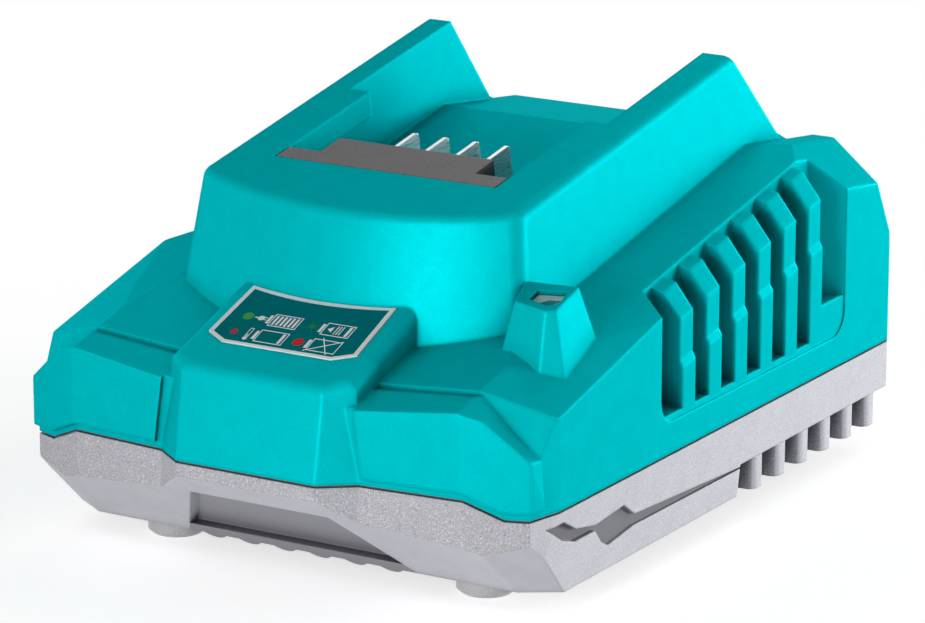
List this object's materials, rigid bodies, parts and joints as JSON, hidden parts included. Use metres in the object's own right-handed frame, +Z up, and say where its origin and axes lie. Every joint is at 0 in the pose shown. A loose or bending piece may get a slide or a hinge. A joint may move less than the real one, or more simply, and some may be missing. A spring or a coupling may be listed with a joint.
{
  "type": "power tool battery charger",
  "caption": "Mains charger for slide-on tool batteries: teal shell with a sloping rail dock, contact blades, side vents and a status label, on a grey base with round feet.",
  "frame": {"origin": "on the table, at the middle of the overall footprint", "axes": "+X to the right seen from the label end, +Y to the rear, where the dock is high and open, +Z up"},
  "size_m": [0.115, 0.16, 0.0864],
  "materials": {
    "teal_shell": "fine texture, satin",
    "grey_shell": "fine texture, satin",
    "block_plastic": "satin",
    "contact_metal": "bright",
    "label_film": "printed film",
    "clear_lens": "clear",
    "foot_rubber": "glossy",
    "screw_steel": "zinc plated",
    "gland_rubber": "matt",
    "board_laminate": "solder mask",
    "black_plastic": "satin",
    "white_plastic": "satin",
    "film_yellow": "tape",
    "ferrite": "matt",
    "can_sleeve": "sleeve",
    "heatsink_metal": "mill",
    "clip_metal": "tinned",
    "fuse_glass": "clear",
    "lamp_resin": "tinted",
    "wire_red": "insulation",
    "wire_yellow": "insulation",
    "wire_white": "insulation",
    "wire_black": "insulation"
  },
  "bodies": {
    "root": {"upper_housing": "teal_shell", "lower_housing": "grey_shell", "terminal_block": "block_plastic", "contact_blade_1": "contact_metal", "contact_blade_2": "contact_metal", "contact_blade_3": "contact_metal", "contact_blade_4": "contact_metal", "indicator_label": "label_film", "light_guide": "clear_lens", "foot_front_left": "foot_rubber", "foot_front_right": "foot_rubber", "foot_rear_left": "foot_rubber", "foot_rear_right": "foot_rubber", "housing_screws": "screw_steel", "cord_gland": "gland_rubber", "main_board": "board_laminate", "board_screws": "screw_steel", "mains_fuse": "fuse_glass", "fuse_clips": "clip_metal", "cord_terminal": "white_plastic", "filter_capacitor": "film_yellow", "line_choke": "film_yellow", "bridge_rectifier": "black_plastic", "primary_capacitor": "can_sleeve", "heatsink_primary": "heatsink_metal", "switching_transistor": "black_plastic", "transformer_core": "ferrite", "transformer_winding": "film_yellow", "heatsink_output": "heatsink_metal", "output_rectifier": "black_plastic", "output_capacitor_1": "can_sleeve", "output_capacitor_2": "can_sleeve", "optocoupler": "white_plastic", "controller_chip": "black_plastic", "status_lamp": "lamp_resin", "output_socket": "white_plastic", "output_plug": "white_plastic", "output_wire_1": "wire_red", "output_wire_2": "wire_yellow", "output_wire_3": "wire_white", "output_wire_4": "wire_black"}
  },
  "joints": []
}
